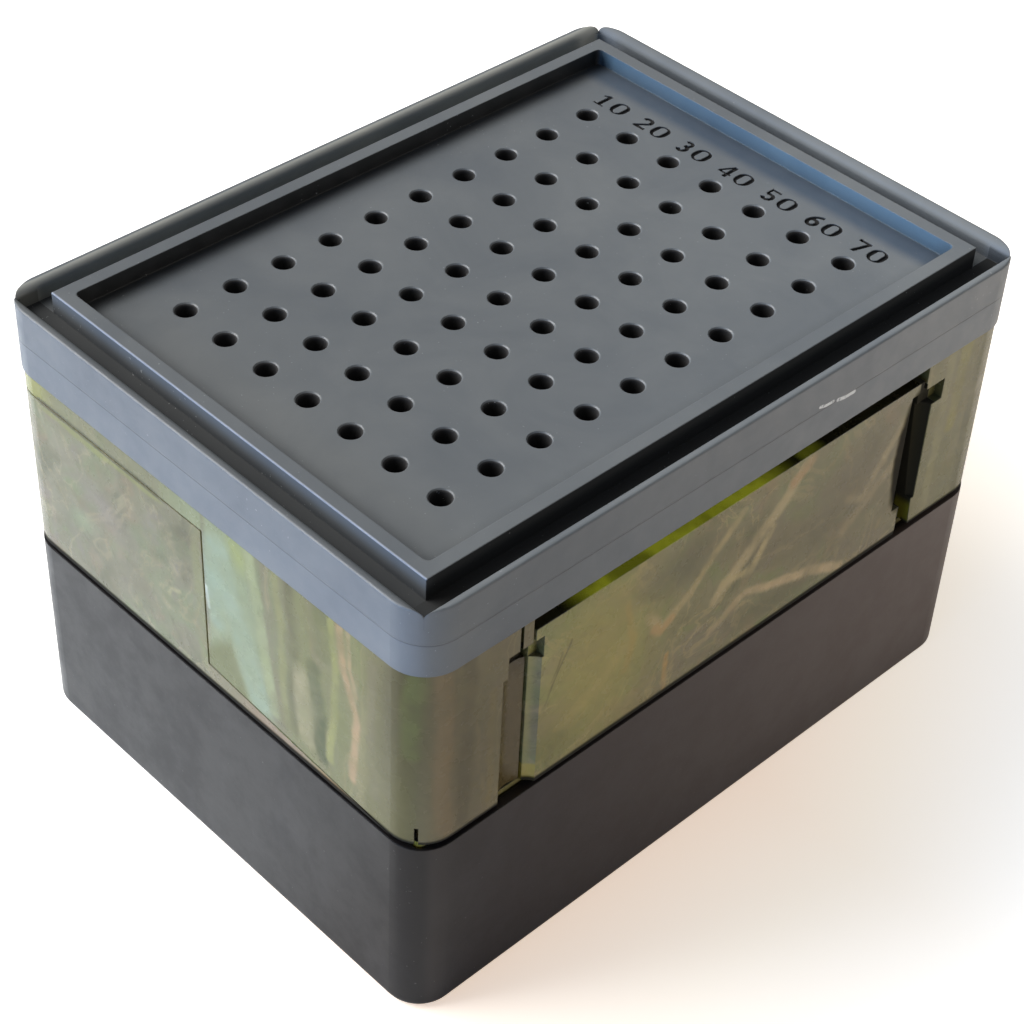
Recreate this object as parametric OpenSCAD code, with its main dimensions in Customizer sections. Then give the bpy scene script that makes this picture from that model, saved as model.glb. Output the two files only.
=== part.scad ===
// Stacking card caddy with a peg-counter lid.
//
// Four pieces stack on a shared outline that is worked out from the card pocket: a base tray, two
// halves that close over a deck of cards, and a lid whose top is a 7 by 10 peg board. Every stacking
// joint is the same: an outer rim, a channel, and a raised frame around the pocket. A foot ring on
// each half drops into the channel. The halves are one shape, and the upper one is turned half a
// turn about the long axis, except that the upper one's corner walls run down over the lower one's
// plate. Two score pegs lie loose in the tray.
// Origin: centre of the footprint, on the surface that the tray stands on. The front is -Y.

/* [Card pocket] */
// Width of the pocket, for a sleeved card
well_w = 66.4; // [60:0.2:80]
// Depth of the pocket, front to back
well_d = 93.8; // [86:0.2:110]

/* [Stacking joint] */
// Thickness of the raised frame around the pocket
frame_wall = 2; // [1.6:0.1:4]
// Width of the channel between frame and rim
channel_w = 3.3; // [3:0.1:6]
// Thickness of the lid's outer rim
rim_wall = 1.6; // [1.2:0.1:3]
// Depth of the channel below the rim's top
channel_depth = 2.8; // [1.5:0.1:5]
// Height of the frame above the rim
frame_proud = 0.4; // [0:0.1:1.5]
// Clearance on each side of a foot ring in its channel
ring_gap = 0.35; // [0.1:0.05:0.8]
// Radius of the upright outer corners
corner_r = 5.4; // [4:0.1:7]
// Thickness of the rim at its corners, which sets the radius of the channel's outer corners
corner_wall = 0.36; // [0.3:0.02:1]
// Radius of the tray's lowest outer edge
edge_r = 1.2; // [0.6:0.1:2]
// Radius of the lid's topmost outer edge
lid_edge_r = 0.3; // [0.2:0.05:0.4]
// Radius of the rounded inner edge of the lid's rim
rim_round = 1.2; // [0.6:0.1:1.3]
// Distance between a part and the seat that it rests on
seat_gap = 0.1; // [0.05:0.05:0.3]

/* [Base tray] */
// How far the tray stands in from the lid's outer face
tray_inset = 0.15; // [0:0.05:0.6]
// Height of the tray's rim
tray_h = 30.6; // [15:0.2:60]
// Thickness of the tray's floor
tray_floor = 2; // [1.2:0.1:4]

/* [Caddy halves] */
// Height of the closed pair between tray and lid
caddy_h = 28.8; // [20:0.1:60]
// How far the halves stand in from the rim's outer face
half_inset = 0.25; // [0.2:0.05:1]
// Gap between the tray's rim and the lower half
stand_off = 0.7; // [0.6:0.1:2]
// Thickness of each half's closed plate
plate_t = 3; // [2:0.2:5]
// Thickness of the side walls
wall = 2.6; // [2:0.1:3.5]
// Height of the low wall that keeps the cards in the pocket
pocket_wall_h = 8; // [3:0.5:9]
// Thickness of that low wall
pocket_wall = 1.8; // [1.2:0.1:2]
// Height of the step on each plate that the other half's walls close around
step_h = 1.2; // [0.5:0.1:3]
// Gap at the seams between the halves
seam_gap = 0.3; // [0.2:0.05:0.6]
// Half length of the middle wall on the long side
middle_half = 35.6; // [28:0.1:40]
// Gap between the middle wall and the front post
front_gap = 0.35; // [0.3:0.05:2]
// Gap between the middle wall and the rear post, at the post's root
rear_gap = 0.6; // [0.5:0.1:2]
// How far the rear post's edge leans away at its free end
post_taper = 1.7; // [0:0.1:3]
// How far the middle wall's rear edge leans away at its root
middle_taper = 0.7; // [0:0.1:2]
// Height of the open strip above a middle wall
strip_h = 2.2; // [1:0.1:2.8]

/* [Finger grooves and latch pockets] */
// Radius of the front finger groove, which straddles the gap beside the middle wall
front_groove_r = 3.6; // [2:0.1:4]
// Distance from the middle wall's edge to the front groove's centre
front_groove_off = 2; // [0:0.1:3]
// Radius of the rear finger groove
rear_groove_r = 2.5; // [2:0.1:4]
// Distance from the middle wall's edge to the rear groove's centre
rear_groove_off = 0.2; // [0:0.1:3]
// Depth of the finger grooves
groove_depth = 1.8; // [0.8:0.1:2]
// Distance between the two slits above the front finger groove
slit_pitch = 2.1; // [1:0.1:4]
// Height of the latch pockets
latch_h = 3.4; // [2:0.2:5]
// Distance from the plate's outer face to the latch pocket
latch_from_plate = 4; // [3.2:0.2:6]
// Reach of the latch pocket into the post
latch_in_post = 4; // [2:0.2:6]
// Reach of the latch pocket into the middle wall
latch_in_middle = 1.4; // [0.6:0.2:4]
// Depth of the latch pocket in the front post
latch_deep = 2.2; // [0.8:0.1:2.2]
// Depth of the other latch pockets
latch_shallow = 1.3; // [0.8:0.1:2]
// Width of the slits beside the latch pockets
slit_w = 0.5; // [0.3:0.05:1]
// Depth of those slits
slit_depth = 1.8; // [0.8:0.1:2.2]
// Height of the slit in the upper half's front corner
corner_slit_h = 2.8; // [1:0.1:5]

/* [Peg-counter lid] */
// Height of the lid from its lower edge to the rim's top
lid_h = 10.15; // [8.5:0.05:20]
// Depth of the peg floor below the rim
peg_floor_drop = 2; // [1:0.1:2.6]
// Radius of the upright corners of the recess above the peg floor
recess_r = 0.8; // [0.2:0.1:2]
// Thickness of the deck under the channel
deck_t = 2; // [1.2:0.1:4]
// Distance between neighbouring peg holes
peg_pitch = 8; // [6:0.5:9]
// How far the middle of the holes lies in front of the lid's middle
peg_shift = 0.5; // [0:0.1:1]
// Columns of peg holes, one for each ten points
peg_columns = 7; // [1:1:7]
// Rows of peg holes, one for each point
peg_rows = 10; // [1:1:10]
// Radius of a peg hole
peg_hole_r = 1.35; // [0.8:0.05:2]
// Width of the chamfer around a peg hole
peg_hole_chamfer = 0.3; // [0.1:0.05:0.5]

/* [Column numbers] */
// Height of the engraved numbers
number_h = 3.1; // [2:0.1:4]
// Distance from the last row of holes to the middle of the numbers
number_rise = 4.7; // [3.4:0.1:6]
// Depth of the engraving
number_depth = 0.3; // [0.1:0.05:0.6]

/* [Score pegs] */
// Clearance around a peg in its hole
peg_gap = 0.1; // [0.05:0.05:0.2]
// Length of the peg's shank
peg_shank = 6; // [3:0.5:12]
// Radius of the peg's head
peg_head_r = 2.1; // [1.6:0.1:3]
// Length of the peg's head
peg_head = 5; // [2:0.5:8]

/* [Hidden] */
$fn = 48;
over = 1;                                     // how far a cut runs past the surface it opens

// radius of a channel's outer corners, from the outer corners' radius and the rim's thickness
function channel_corner(r, t) = max(0.4, r - (sqrt(2) * t - corner_wall) / (sqrt(2) - 1));
lid_channel_r = channel_corner(corner_r, rim_wall);
tray_channel_r = channel_corner(corner_r - tray_inset, rim_wall - tray_inset);
frame_w = well_w + 2 * frame_wall;
frame_d = well_d + 2 * frame_wall;
rim_in_w = frame_w + 2 * channel_w;
rim_in_d = frame_d + 2 * channel_w;
outer_w = rim_in_w + 2 * rim_wall;
outer_d = rim_in_d + 2 * rim_wall;

half_w = outer_w - 2 * half_inset;
half_d = outer_d - 2 * half_inset;
half_r = corner_r - half_inset;
wall_top = caddy_h - plate_t - seam_gap;      // free end of a half's walls, above its plate's outer face
lap_top = caddy_h - seam_gap;                 // free end of the upper half's posts, which lap the plate
middle_top = caddy_h - strip_h;               // free end of a middle wall
foot_h = channel_depth + stand_off - seat_gap;
ring_r = max(lid_channel_r, tray_channel_r) - ring_gap / 2;
// edge of the rear post (s = 1) or the front post (s = -1), at its root and at its free end
function post_root(s) = middle_half + (s > 0 ? rear_gap : front_gap);
function post_free(s) = post_root(s) + (s > 0 ? post_taper : 0);
lap_end = half_w / 2 - half_r;                // the lapping edge slopes from the seam to here
wall_gap = 0.2;                               // clearance between a wall's inner face and what it laps
tongue_reach = 5;                             // how far a tongue reaches behind the other half's wall
tongue_t = 1.4;
groove_top = caddy_h - latch_from_plate - latch_h;
groove_stop = plate_t + 2;                    // lower end of the rear groove

lower_half_z = tray_h + stand_off;
upper_half_z = lower_half_z + caddy_h;
lid_z = upper_half_z + seat_gap;
lid_rim_z = lid_z + lid_h;
peg_floor_z = lid_rim_z - peg_floor_drop;
deck_z = lid_rim_z - channel_depth - deck_t;  // underside of the lid's deck
inner_frame_z = lid_z + 0.3;                  // lower end of the frame under the deck

number_aside = 0.4;                           // the numbers sit this far to the right of their columns

peg_r = peg_hole_r - peg_gap;
peg_lift = 0.1;                               // the pegs lie this far above the tray's floor
peg_spacing = 9;

// A box centred on the Z axis, from height z0 to height z1.
module block(w, d, z0, z1) {
    translate([-w / 2, -d / 2, z0])
        cube([w, d, z1 - z0]);
}

// Rounded rectangle in plan.
module plan(w, d, r) {
    square([w - 2 * r, d], center = true);
    square([w, d - 2 * r], center = true);
    for (sx = [-1, 1], sy = [-1, 1])
        translate([sx * (w / 2 - r), sy * (d / 2 - r)])
            circle(r);
}

module slab(w, d, r, h) {
    linear_extrude(h)
        plan(w, d, r);
}

// Cross-section of width w and height h with its two upper corners rounded.
module soft_section(w, h, e) {
    translate([-w / 2, 0])
        square([w, h - e]);
    translate([-w / 2 + e, 0])
        square([w - 2 * e, h]);
    for (s = [-1, 1])
        translate([s * (w / 2 - e), h - e])
            circle(e);
}

// Half of that cross-section, to be turned about its left edge.
module soft_half_section(r, h, e) {
    square([r, h - e]);
    square([r - e, h]);
    translate([r - e, h - e])
        circle(e);
}

// Rounded slab whose topmost outer edge is rounded too.
module soft_slab(w, d, r, h, e) {
    rotate([90, 0, 0])
        linear_extrude(d - 2 * r, center = true)
            soft_section(w, h, e);
    rotate([90, 0, 90])
        linear_extrude(w - 2 * r, center = true)
            soft_section(d, h, e);
    for (sx = [-1, 1], sy = [-1, 1])
        translate([sx * (w / 2 - r), sy * (d / 2 - r), 0])
            rotate_extrude()
                soft_half_section(r, h, e);
}

// The space between frame and rim, from z0 to z1, with outer corners of radius r.
module channel(r, z0, z1) {
    difference() {
        translate([0, 0, z0])
            slab(rim_in_w, rim_in_d, r, z1 - z0);
        block(frame_w, frame_d, z0 - over, z1 + over);
    }
}

// Cross-section of the space above the rounded inner edges of a rim, for a channel w wide.
module mouth_section(w) {
    difference() {
        translate([-w / 2 - rim_round, 0])
            square([w + 2 * rim_round, rim_round + over]);
        for (s = [-1, 1])
            translate([s * (w / 2 + rim_round), 0])
                circle(rim_round);
    }
}

// Rounds a rim's inner edge, below the height z; the four sides meet in sharp mitres.
module rim_mouth(z) {
    difference() {
        translate([0, 0, z - rim_round])
            intersection() {
                rotate([90, 0, 0])
                    linear_extrude(outer_d + 2 * over, center = true)
                        mouth_section(rim_in_w);
                rotate([90, 0, 90])
                    linear_extrude(outer_w + 2 * over, center = true)
                        mouth_section(rim_in_d);
            }
        block(frame_w, frame_d, z - rim_round - over, z + 2 * over);
    }
}

module base_tray() {
    core_top = tray_h - channel_depth - tray_floor;
    color("#2b2a2c")
        difference() {
            union() {
                translate([0, 0, tray_h])
                    mirror([0, 0, 1])
                        soft_slab(
                            outer_w - 2 * tray_inset,
                            outer_d - 2 * tray_inset,
                            corner_r - tray_inset,
                            tray_h,
                            edge_r
                        );
                block(frame_w, frame_d, tray_h - over, tray_h + frame_proud);
            }
            block(well_w, well_d, tray_floor, tray_h + frame_proud + over);
            channel(tray_channel_r, tray_h - channel_depth, tray_h + over);
            channel(tray_channel_r, -over, core_top);
        }
}

// The band around the edge that walls stand in: its inner face is set in from the outline.
module edge_band(inset, z0, z1) {
    difference() {
        translate([0, 0, z0])
            slab(half_w, half_d, half_r, z1 - z0);
        translate([0, 0, z0 - over])
            slab(half_w - 2 * inset, half_d - 2 * inset, half_r - inset, z1 - z0 + 2 * over);
    }
}

// Side profile of the corner walls at one end of a long side, from the gap to the corner.
module post_profile(s) {
    polygon([
        [s * post_root(s), 0],
        [s * (half_d / 2 + over), 0],
        [s * (half_d / 2 + over), caddy_h],
        [s * post_free(s), caddy_h]
    ]);
}

// Corner walls on the -X side. Lapping ones run on past the other half's plate, along a slope.
module corner_walls(lapping) {
    intersection() {
        edge_band(wall, 0, caddy_h);
        union()
            for (s = [-1, 1])
                translate([-half_w / 2 - over, 0, 0])
                    rotate([90, 0, 90])
                        linear_extrude(half_w / 2 + over - seam_gap / 2)
                            post_profile(s);
        rotate([90, 0, 0])
            linear_extrude(half_d + 2 * over, center = true)
                polygon([
                    [0, 0],
                    [0, wall_top],
                    [-lap_end, lapping ? lap_top : wall_top],
                    [-half_w / 2 - over, lapping ? lap_top : wall_top],
                    [-half_w / 2 - over, 0]
                ]);
    }
}

// Middle wall on the +X side.
module middle_wall() {
    translate([half_w / 2 - wall, 0, 0])
        rotate([90, 0, 90])
            linear_extrude(wall)
                polygon([
                    [-middle_half, 0],
                    [middle_half - middle_taper, 0],
                    [middle_half, middle_top],
                    [-middle_half, middle_top]
                ]);
}

// Tongues at the front and back seams, which slide in behind the other half's wall.
module tongues() {
    outer_y = half_d / 2 - wall - wall_gap;
    for (s = [-1, 1]) {
        translate([-tongue_reach, s > 0 ? outer_y - tongue_t : -outer_y - wall_gap - 0.1, 0])
            cube([tongue_reach - seam_gap / 2, tongue_t + wall_gap + 0.1, caddy_h / 2 - seam_gap]);
        translate([-over, s > 0 ? outer_y - tongue_t : -outer_y, 0])
            cube([tongue_reach + over, tongue_t, caddy_h / 2 - seam_gap]);
    }
}

// Upright finger groove of radius r in the long side at x, centred on y, from z0 up to z1.
module finger_groove(r, x, y, z0, z1) {
    translate([sign(x) * (abs(x) + r - groove_depth), y, z0])
        cylinder(r = r, h = z1 - z0);
}

module groove_cuts() {
    front_y = -middle_half - front_groove_off;
    rear_y = middle_half + rear_groove_off;
    // in the posts, open at their free ends
    finger_groove(front_groove_r, -half_w / 2, front_y, caddy_h - groove_top, caddy_h);
    finger_groove(rear_groove_r, -half_w / 2, rear_y, caddy_h - groove_top, caddy_h - groove_stop);
    // in the middle wall
    finger_groove(front_groove_r, half_w / 2, front_y, 0, groove_top);
    finger_groove(rear_groove_r, half_w / 2, rear_y, groove_stop, groove_top + latch_h);
}

module latch_cuts() {
    // in the posts, near the plate
    for (s = [-1, 1])
        translate([
            -half_w / 2 - over,
            s > 0 ? post_root(s) - over : -post_root(s) - latch_in_post,
            latch_from_plate
        ])
            cube([(s > 0 ? latch_shallow : latch_deep) + over, latch_in_post + over, latch_h]);
    // in the middle wall, near its free end and at the front only
    translate([half_w / 2 - latch_shallow, -middle_half - over, groove_top])
        cube([latch_shallow + over, latch_in_middle + over, latch_h]);
}

// Narrow slits in the plate's edge, which lead into the front latch pocket.
module slit_cuts() {
    for (y = [-middle_half - slit_w, -middle_half - slit_w - slit_pitch])
        translate([-half_w / 2 - over, y, -over])
            cube([slit_depth + over, slit_w, latch_from_plate + 2 * over]);
}

// Radial slit in the free end of the front corner.
module corner_slit() {
    translate([-half_w / 2 + half_r, -half_d / 2 + half_r, lap_top - corner_slit_h])
        rotate([0, 0, -130])
            translate([half_r - slit_depth, -slit_w / 2, 0])
                cube([slit_depth + over, slit_w, corner_slit_h + over]);
}

// Recess in the plate's edge that the other half's middle wall comes up into.
module middle_recess() {
    translate([-half_w / 2 - over, -middle_half - front_gap, -over])
        cube([wall + wall_gap + over, 2 * middle_half + front_gap + rear_gap, plate_t + 2 * over]);
}

// Recess in the plate's edge that the other half's lapping corner walls come down into.
module lap_recess() {
    intersection() {
        difference() {
            edge_band(wall + wall_gap, -over, plate_t + over);
            translate([half_w / 2 - wall - wall_gap - over, -middle_half, -2 * over])
                cube([wall + wall_gap + 2 * over, 2 * middle_half - middle_taper, plate_t + 4 * over]);
        }
        rotate([90, 0, 0])
            linear_extrude(half_d + 2 * over, center = true)
                polygon([
                    [0, plate_t],
                    [lap_end, 0],
                    [half_w / 2 + over, 0],
                    [half_w / 2 + over, plate_t + over],
                    [0, plate_t + over]
                ]);
    }
}

// One half, standing on its closed plate, with its foot ring below Z = 0.
module caddy_half(lapping, lapped) {
    ring_w = rim_in_w - 2 * ring_gap;
    ring_d = rim_in_d - 2 * ring_gap;
    inside = wall + wall_gap;
    difference() {
        union() {
            difference() {
                slab(half_w, half_d, half_r, plate_t);
                middle_recess();
                if (lapped) lap_recess();
            }
            translate([0, 0, plate_t / 2])
                slab(half_w - 2 * inside, half_d - 2 * inside, half_r - inside, plate_t / 2 + step_h);
            corner_walls(lapping);
            middle_wall();
            tongues();
            difference() {
                translate([0, 0, -foot_h])
                    slab(ring_w, ring_d, ring_r, foot_h);
                block(frame_w + 2 * ring_gap, frame_d + 2 * ring_gap, -foot_h - over, over);
            }
            block(
                well_w + 2 * pocket_wall,
                well_d + 2 * pocket_wall,
                plate_t / 2,
                plate_t + pocket_wall_h
            );
        }
        block(well_w, well_d, plate_t, caddy_h);
        groove_cuts();
        latch_cuts();
        slit_cuts();
        if (lapping) corner_slit();
    }
}

module lower_caddy_half() {
    color("#7f8058")
        translate([0, 0, lower_half_z])
            caddy_half(false, true);
}

module upper_caddy_half() {
    color("#8b8f68")
        translate([0, 0, upper_half_z])
            rotate([0, 180, 0])
                caddy_half(true, false);
}

// A through hole in the deck with a chamfered mouth.
module peg_hole() {
    translate([0, 0, deck_z - over])
        cylinder(r = peg_hole_r, h = peg_floor_z - deck_z + 2 * over);
    translate([0, 0, peg_floor_z - peg_hole_chamfer])
        cylinder(r1 = peg_hole_r, r2 = peg_hole_r + 2 * peg_hole_chamfer, h = 2 * peg_hole_chamfer);
}

// Part of a ring about (x, y), between two angles, in units of a tenth of a numeral's height.
module arc_stroke(x, y, r_out, r_in, from, to) {
    u = number_h / 10;
    steps = 8;
    turn = (to - from) / steps;
    polygon(concat(
        [for (k = [0 : steps]) u * [x + r_out * cos(from + k * turn), y + r_out * sin(from + k * turn)]],
        [for (k = [0 : steps]) u * [x + r_in * cos(to - k * turn), y + r_in * sin(to - k * turn)]]
    ));
}

// Straight stroke through the given corners, in the same units.
module straight_stroke(corners) {
    polygon(corners * number_h / 10);
}

// Numeral n, standing on the X axis and centred on the Y axis.
module numeral(n) {
    u = number_h / 10;
    if (n == 0) {
        translate([0, 5 * u])
            difference() {
                plan(8.4 * u, 10 * u, 4.1 * u);
                plan(3.8 * u, 7.8 * u, 1.8 * u);
            }
    } else if (n == 1) {
        straight_stroke([[-1, 0], [1, 0], [1, 10], [-0.6, 10], [-3, 8.4], [-3, 7.4], [-1, 8]]);
        straight_stroke([[-2.8, 0], [2.8, 0], [2.8, 1.1], [-2.8, 1.1]]);
    } else if (n == 2) {
        arc_stroke(0, 6.8, 3.3, 1.3, -25, 165);
        straight_stroke([[2.9, 5.4], [1.4, 6.1], [-3.4, 1.2], [-3.4, 0], [3.4, 0], [3.4, 1.8], [-0.6, 1.8]]);
    } else if (n == 3) {
        arc_stroke(-0.2, 7.3, 2.8, 1, -110, 150);
        arc_stroke(-0.2, 3.1, 3.2, 1.2, -150, 100);
    } else if (n == 4) {
        straight_stroke([[0.7, 0], [2.6, 0], [2.6, 10], [0.7, 10]]);
        straight_stroke([[-3.4, 2.2], [3.7, 2.2], [3.7, 3.5], [-3.4, 3.5]]);
        straight_stroke([[0.7, 10], [2.2, 10], [-2, 3.3], [-3.4, 3.3]]);
    } else if (n == 5) {
        straight_stroke([[-2.5, 8.5], [3, 8.5], [3, 10], [-2.5, 10]]);
        straight_stroke([[-2.6, 5.2], [-1.5, 5.6], [-1.2, 9], [-2.5, 9]]);
        arc_stroke(-0.1, 3.3, 3.4, 1.4, -150, 140);
    } else if (n == 6) {
        arc_stroke(0, 3.2, 3.3, 1.3, -180, 0);
        arc_stroke(0, 3.2, 3.3, 1.3, 0, 180);
        arc_stroke(3.3, 3.4, 6.6, 4.8, 98, 182);
    } else if (n == 7) {
        straight_stroke([[-3.2, 8.3], [3.4, 8.3], [3.4, 10], [-3.2, 10]]);
        straight_stroke([[3.4, 9], [0.5, 0], [-1.6, 0], [1.5, 9]]);
    }
}

// Numbers in tens, one above the last hole of each column.
module column_numbers() {
    step = 0.98 * number_h;
    for (i = [0 : peg_columns - 1])
        translate([
            (i - (peg_columns - 1) / 2) * peg_pitch + number_aside,
            (peg_rows - 1) / 2 * peg_pitch - peg_shift + number_rise - number_h / 2,
            peg_floor_z - number_depth
        ])
            linear_extrude(number_depth + over) {
                translate([-step / 2, 0])
                    numeral(i + 1);
                translate([step / 2, 0])
                    numeral(0);
            }
}

module peg_board_lid() {
    color("#74777d")
        difference() {
            union() {
                translate([0, 0, lid_z])
                    soft_slab(outer_w, outer_d, corner_r, lid_h, lid_edge_r);
                block(frame_w, frame_d, lid_rim_z - over, lid_rim_z + frame_proud);
            }
            // top: pocket over the peg floor, and the channel around its frame
            translate([0, 0, peg_floor_z])
                slab(well_w, well_d, recess_r, peg_floor_drop + frame_proud + over);
            channel(lid_channel_r, lid_rim_z - channel_depth, lid_rim_z + over);
            rim_mouth(lid_rim_z);
            // underside: the same joint, turned over
            block(well_w, well_d, lid_z - over, deck_z);
            channel(lid_channel_r, lid_z - over, deck_z);
            block(frame_w + over, frame_d + over, lid_z - over, inner_frame_z);
            for (i = [0 : peg_columns - 1], j = [0 : peg_rows - 1])
                translate([
                    (i - (peg_columns - 1) / 2) * peg_pitch,
                    (j - (peg_rows - 1) / 2) * peg_pitch - peg_shift,
                    0
                ])
                    peg_hole();
            column_numbers();
        }
}

// A peg lying on its side along X, with its head at the left.
module score_peg(y) {
    translate([-(peg_shank + peg_head) / 2, y, tray_floor + peg_lift + peg_head_r])
        rotate([0, 90, 0])
            rotate_extrude() {
                square([peg_head_r - 0.4, peg_head]);
                translate([0, 0.4])
                    square([peg_head_r, peg_head - 0.8]);
                square([peg_r, peg_head + peg_shank]);
            }
}

module score_peg_1() {
    color("#c9402e")
        score_peg(-peg_spacing / 2);
}

module score_peg_2() {
    color("#2f6fb5")
        score_peg(peg_spacing / 2);
}

base_tray();
lower_caddy_half();
upper_caddy_half();
peg_board_lid();
score_peg_1();
score_peg_2();
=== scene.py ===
"""Stacking card caddy with a peg-counter lid: looks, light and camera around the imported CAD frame.

The assembly's own frame is used throughout: x to the right, y to the back, and z up from the
surface that the tray stands on. Marks on the surfaces are placed in millimetres.
"""

import math
from collections import namedtuple

import bpy
from mathutils import Matrix, Vector


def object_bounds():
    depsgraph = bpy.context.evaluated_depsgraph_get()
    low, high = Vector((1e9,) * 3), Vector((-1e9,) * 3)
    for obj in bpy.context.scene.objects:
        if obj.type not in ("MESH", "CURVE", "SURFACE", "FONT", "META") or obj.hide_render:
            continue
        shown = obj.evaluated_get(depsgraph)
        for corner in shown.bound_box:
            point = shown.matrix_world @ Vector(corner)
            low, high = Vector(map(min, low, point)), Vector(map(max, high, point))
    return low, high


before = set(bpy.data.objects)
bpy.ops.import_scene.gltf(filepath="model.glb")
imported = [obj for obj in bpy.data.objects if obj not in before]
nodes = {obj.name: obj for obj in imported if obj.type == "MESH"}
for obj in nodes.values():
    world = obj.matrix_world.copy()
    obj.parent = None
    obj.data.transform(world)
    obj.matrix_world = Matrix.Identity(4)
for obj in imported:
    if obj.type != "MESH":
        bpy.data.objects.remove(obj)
cad_lo, cad_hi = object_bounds()

# ---------------------------------------------------------------- places on the object, in mm
MM = 0.001
HALF_X, HALF_Y, TOP = (high / MM for high in cad_hi)  # the lid's outer faces and its frame's top
CORNER_R = 5.4
RIM_WALL, CHANNEL_W, FRAME_WALL = 1.6, 3.3, 2.0
RIM_X, RIM_Y = HALF_X - RIM_WALL, HALF_Y - RIM_WALL  # inner faces of the lid's rim
FRAME_X, FRAME_Y = RIM_X - CHANNEL_W, RIM_Y - CHANNEL_W  # outer faces of its raised frame
RECESS_X, RECESS_Y = FRAME_X - FRAME_WALL, FRAME_Y - FRAME_WALL  # walls of its recess
FRAME_PROUD, CHANNEL_DEPTH, PEG_FLOOR_DROP, DECK_T = 0.4, 2.8, 2.0, 2.0
RIM_Z = TOP - FRAME_PROUD
CHANNEL_Z, PEG_FLOOR_Z = RIM_Z - CHANNEL_DEPTH, RIM_Z - PEG_FLOOR_DROP
DECK_Z = CHANNEL_Z - DECK_T  # underside of the deck below the channel
PARTING_Z = 65.05

HALF_INSET = 0.25  # how far the halves stand in from the lid's outer faces
LOWER_Z, CADDY_H, PLATE_T, STRIP_H = 31.3, 28.8, 3.0, 2.2
LOWER_PLATE_Z = LOWER_Z + PLATE_T  # inner faces of the two plates
UPPER_PLATE_Z = LOWER_Z + CADDY_H - PLATE_T
MIDDLE_Z = LOWER_Z + CADDY_H - STRIP_H  # top of the lower half's middle wall
MIDDLE_Y = 35.6  # its ends, to the front and to the back


# ---------------------------------------------------------------- camera
def add_camera():
    """The photograph's viewpoint: azimuth, elevation and roll in degrees, distance in metres."""
    azimuth, elevation, roll = math.radians(44.493), math.radians(41.199), math.radians(-2.931)
    target, distance = Vector((0.000604, -0.000808, 0.030)), 0.331412
    back = Vector(
        (
            math.sin(azimuth) * math.cos(elevation),
            -math.cos(azimuth) * math.cos(elevation),
            math.sin(elevation),
        )
    )
    right = (-back).cross(Vector((0, 0, 1))).normalized()
    down = (-back).cross(right)
    right, down = (
        right * math.cos(roll) + down * math.sin(roll),
        down * math.cos(roll) - right * math.sin(roll),
    )
    data = bpy.data.cameras.new("camera")
    data.lens, data.sensor_width = 83.231, 36.0
    data.clip_start, data.clip_end = 0.01, 20
    camera = bpy.data.objects.new("camera", data)
    camera.matrix_world = Matrix.Translation(target + back * distance) @ Matrix(
        (right, -down, back)
    ).transposed().to_4x4()
    bpy.context.scene.collection.objects.link(camera)
    bpy.context.scene.camera = camera


# ---------------------------------------------------------------- shader graphs
def srgb(r, g, b):
    """Linear colour of an sRGB colour given in 0..255."""
    return tuple(
        v / 255 / 12.92 if v / 255 <= 0.04045 else ((v / 255 + 0.055) / 1.055) ** 2.4
        for v in (r, g, b)
    )


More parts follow.
